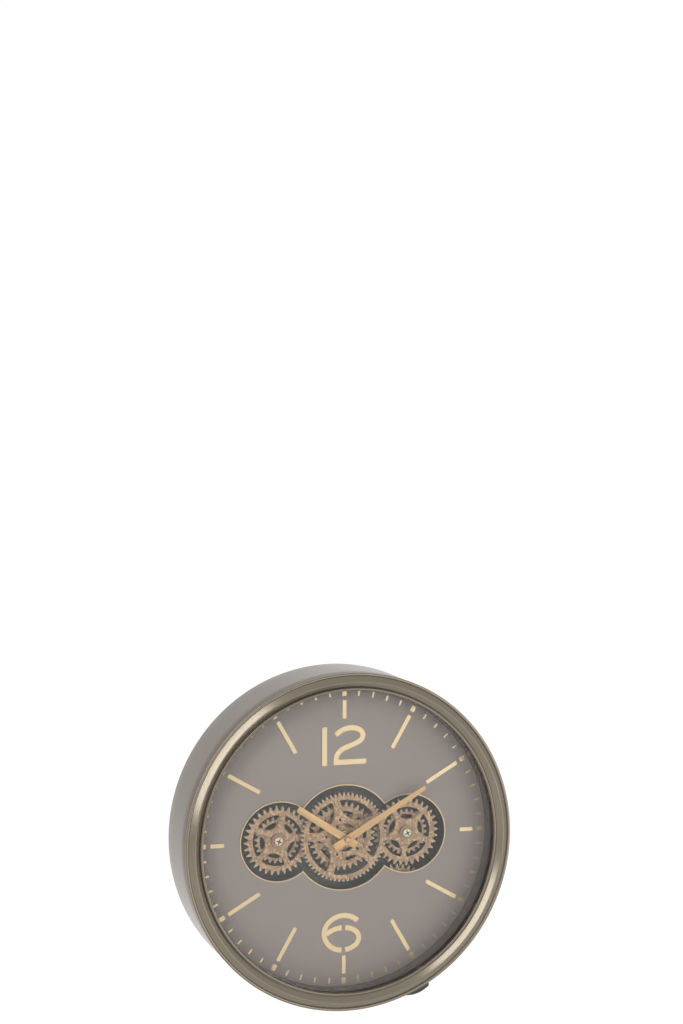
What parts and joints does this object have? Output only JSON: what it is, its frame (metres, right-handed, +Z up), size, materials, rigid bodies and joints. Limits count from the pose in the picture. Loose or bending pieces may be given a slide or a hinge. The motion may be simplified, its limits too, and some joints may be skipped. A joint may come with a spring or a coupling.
{
  "type": "wall clock",
  "caption": "Round wall clock in a deep metal case; a lobed window in the dial shows turning gears behind the hands. Hangs by a keyhole, gears switched by a rocker.",
  "frame": {"origin": "where the wall hook carries the keyhole of the hanger plate, on the wall plane", "axes": "+Y into the wall, so the dial faces -Y; +Z up; +X to the right of the dial"},
  "size_m": [0.36, 0.085, 0.36],
  "materials": {
    "pewter": "brushed, pewter tone",
    "glass": "clear",
    "dial_paint": "matt taupe",
    "ring_paint": "matt grey-green",
    "gilt": "satin gilt",
    "plate_paint": "matt dark grey-green",
    "copper": "mottled antique copper",
    "steel": "satin",
    "brass": "satin",
    "black_plastic": "matt black",
    "white_plastic": "matt white",
    "battery_sleeve": "plain dark sleeve",
    "back_paint": "matt black",
    "rubber": "black"
  },
  "bodies": {
    "case": {"case_drum": "pewter", "bezel": "pewter", "glass": "glass", "dial": "dial_paint", "dial_ring": "ring_paint", "window_trim": "gilt", "gear_plate": "plate_paint", "plate_pillar_1": "steel", "plate_pillar_2": "steel", "plate_pillar_3": "steel", "plate_pillar_4": "steel", "left_post": "steel", "right_post": "steel", "left_washer": "steel", "right_washer": "steel", "left_screw": "steel", "right_screw": "steel", "gear_motor": "steel", "hanger_plate": "steel", "movement_neck": "brass", "neck_nut": "brass", "centre_sleeve": "brass", "centre_retainer": "brass", "movement_housing": "black_plastic", "battery_box": "black_plastic", "switch_body": "black_plastic", "clock_battery": "battery_sleeve", "motor_battery_1": "battery_sleeve", "motor_battery_2": "battery_sleeve", "rear_cover": "back_paint", "wall_pad_left": "rubber", "wall_pad_right": "rubber"},
    "centre_wheels": {"centre_hub": "brass", "centre_front_wheel": "copper", "centre_gear": "copper", "centre_small_gear": "copper"},
    "left_wheels": {"left_hub": "brass", "left_gear": "copper", "left_small_gear": "copper"},
    "right_wheels": {"right_hub": "brass", "right_gear": "copper", "right_small_gear": "copper"},
    "drive_wheel": {"drive_gear": "copper", "drive_hub": "brass", "motor_shaft": "steel"},
    "minute": {"minute_hand": "gilt", "minute_arbor": "brass", "cap_nut": "gilt"},
    "hour": {"hour_hand": "gilt", "hour_pipe": "brass"},
    "knob": {"set_knob": "white_plastic"},
    "rocker": {"switch_rocker": "black_plastic"}
  },
  "joints": [
    {"name": "centre_spin", "type": "hinge", "parent": "case", "child": "centre_wheels", "pos_m": [0, -0.048, -0.15], "axis": [0, 1, 0], "continuous": true},
    {"name": "left_spin", "type": "hinge", "parent": "case", "child": "left_wheels", "pos_m": [-0.072, -0.048, -0.15], "axis": [0, 1, 0], "continuous": true},
    {"name": "right_spin", "type": "hinge", "parent": "case", "child": "right_wheels", "pos_m": [0.072, -0.048, -0.15], "axis": [0, 1, 0], "continuous": true},
    {"name": "drive_spin", "type": "hinge", "parent": "case", "child": "drive_wheel", "pos_m": [0.06198, -0.048, -0.2213], "axis": [0, 1, 0], "continuous": true},
    {"name": "minute_turn", "type": "hinge", "parent": "case", "child": "minute", "pos_m": [0, -0.063, -0.15], "axis": [0, 1, 0], "continuous": true},
    {"name": "hour_turn", "type": "hinge", "parent": "case", "child": "hour", "pos_m": [0, -0.061, -0.15], "axis": [0, 1, 0], "continuous": true},
    {"name": "knob_turn", "type": "hinge", "parent": "case", "child": "knob", "pos_m": [0, -0.017, -0.141], "axis": [0, 1, 0], "continuous": true},
    {"name": "rocker_tilt", "type": "hinge", "parent": "case", "child": "rocker", "pos_m": [0.07544, -0.07, -0.31178], "axis": [0, 1, 0], "range_deg": [-14, 0]}
  ],
  "couplings": [
    {"joint": "left_spin", "follows": "centre_spin", "ratio": -1},
    {"joint": "right_spin", "follows": "centre_spin", "ratio": -1},
    {"joint": "drive_spin", "follows": "centre_spin", "ratio": 1},
    {"joint": "hour_turn", "follows": "minute_turn", "ratio": 0.083333},
    {"joint": "knob_turn", "follows": "minute_turn", "ratio": 3}
  ]
}
